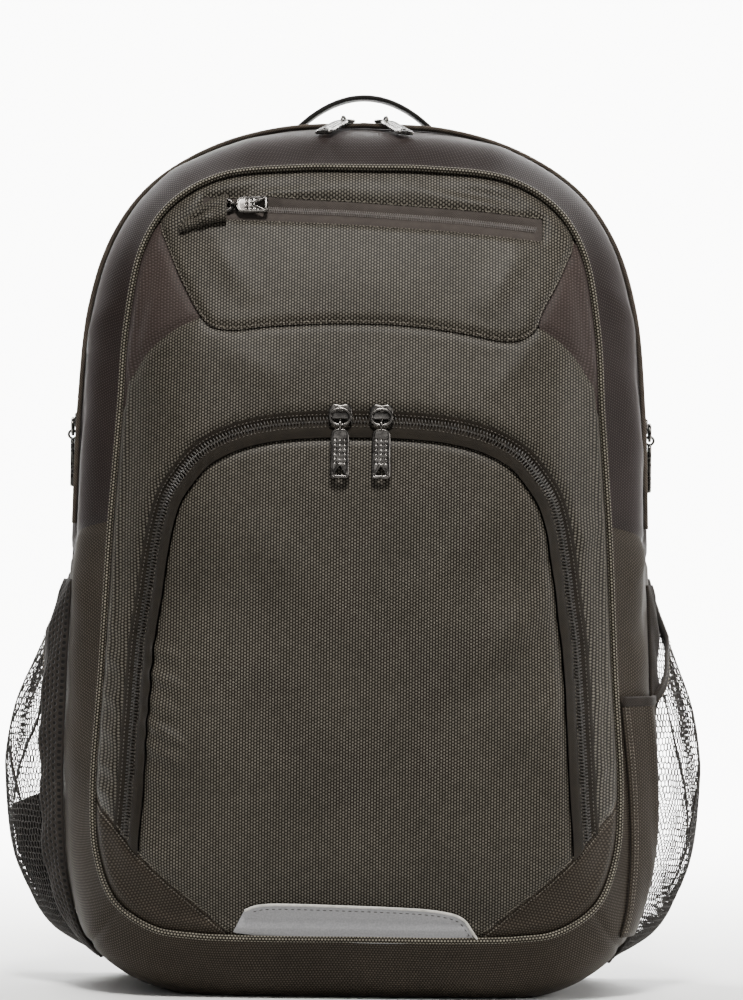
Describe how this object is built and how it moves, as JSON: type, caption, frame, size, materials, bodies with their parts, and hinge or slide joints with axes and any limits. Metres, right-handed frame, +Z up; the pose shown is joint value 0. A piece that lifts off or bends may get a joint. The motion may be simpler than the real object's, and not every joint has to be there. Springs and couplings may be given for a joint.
{
  "type": "laptop backpack",
  "caption": "Dark laptop backpack standing on its base, with an arched front pocket, a raised quick-access pocket, net side pockets, an open rear laptop compartment and padded shoulder straps.",
  "frame": {"origin": "centre of the base that the backpack stands on, on the floor, below the front zip line", "axes": "+Z up, -Y out of the front face, +X to the right of someone facing the front"},
  "size_m": [0.3828, 0.2746, 0.4963],
  "materials": {
    "weave": "two-tone ballistic weave, near-black ground with pale grey-beige dots",
    "plain": "fine ribbed dark brown-black nylon with a slight sheen",
    "net": "black knitted net with open hexagonal holes",
    "zip": "dark brown-black woven zip tape with coil teeth",
    "metal": "gunmetal plated cast metal",
    "reflective": "mid-grey reflective film with a paler edge",
    "webbing": "dark woven polyester webbing",
    "plastic": "moulded black plastic"
  },
  "bodies": {
    "bag": {"gusset_upper": "plain", "base_panel": "weave", "side_panel_left": "weave", "side_panel_right": "weave", "main_zip": "zip", "front_divider": "plain", "laptop_compartment": "plain", "laptop_zip_left": "zip", "laptop_zip_right": "zip", "back_panel": "plain", "bottom_corner_left": "weave", "bottom_corner_right": "weave", "lower_pocket_panel": "weave", "lower_pocket_zip": "zip", "front_panel": "weave", "yoke_left": "plain", "yoke_right": "plain", "quick_pocket_panel": "weave", "quick_pocket_zip": "zip", "quick_zip_garage": "weave", "reflective_strip": "reflective", "side_net_left": "net", "side_net_right": "net", "net_binding_left": "webbing", "net_binding_right": "webbing", "pocket_front_right": "plain", "haul_loop": "webbing", "shoulder_strap_left": "plain", "strap_webbing_left": "webbing", "strap_anchor_left": "webbing", "strap_adjuster_left": "plastic", "shoulder_strap_right": "plain", "strap_webbing_right": "webbing", "strap_anchor_right": "webbing", "strap_adjuster_right": "plastic", "lower_left_slider": "metal", "main_left_slider": "metal", "laptop_left_slider": "metal", "lower_right_slider": "metal", "main_right_slider": "metal", "laptop_right_slider": "metal", "quick_slider": "metal"},
    "lower_left_pull_tab": {"lower_left_pull": "metal"},
    "main_left_pull_tab": {"main_left_pull": "metal"},
    "laptop_left_pull_tab": {"laptop_left_pull": "metal"},
    "lower_right_pull_tab": {"lower_right_pull": "metal"},
    "main_right_pull_tab": {"main_right_pull": "metal"},
    "laptop_right_pull_tab": {"laptop_right_pull": "metal"},
    "quick_pull_tab": {"quick_pull": "metal"}
  },
  "joints": [
    {"name": "lower_left_pull_hinge", "type": "hinge", "parent": "bag", "child": "lower_left_pull_tab", "pos_m": [-0.011, -0.09185, 0.30776], "axis": [-1, 0, 0], "range_deg": [0, 140]},
    {"name": "main_left_pull_hinge", "type": "hinge", "parent": "bag", "child": "main_left_pull_tab", "pos_m": [-0.01164, 0.01086, 0.4771], "axis": [-0.9084, 0.4166, -0.0363], "range_deg": [0, 140]},
    {"name": "laptop_left_pull_hinge", "type": "hinge", "parent": "bag", "child": "laptop_left_pull_tab", "pos_m": [-0.16206, 0.066, 0.303], "axis": [0, 1, 0], "range_deg": [0, 140]},
    {"name": "lower_right_pull_hinge", "type": "hinge", "parent": "bag", "child": "lower_right_pull_tab", "pos_m": [0.011, -0.09185, 0.30776], "axis": [-1, 0, 0], "range_deg": [0, 140]},
    {"name": "main_right_pull_hinge", "type": "hinge", "parent": "bag", "child": "main_right_pull_tab", "pos_m": [0.01164, 0.01086, 0.4771], "axis": [-0.9084, -0.4166, 0.0363], "range_deg": [0, 140]},
    {"name": "laptop_right_pull_hinge", "type": "hinge", "parent": "bag", "child": "laptop_right_pull_tab", "pos_m": [0.16206, 0.066, 0.303], "axis": [0, -1, 0], "range_deg": [0, 140]},
    {"name": "quick_pull_hinge", "type": "hinge", "parent": "bag", "child": "quick_pull_tab", "pos_m": [-0.07079, -0.05127, 0.42662], "axis": [0, -0.4224, -0.9064], "range_deg": [0, 90]}
  ]
}
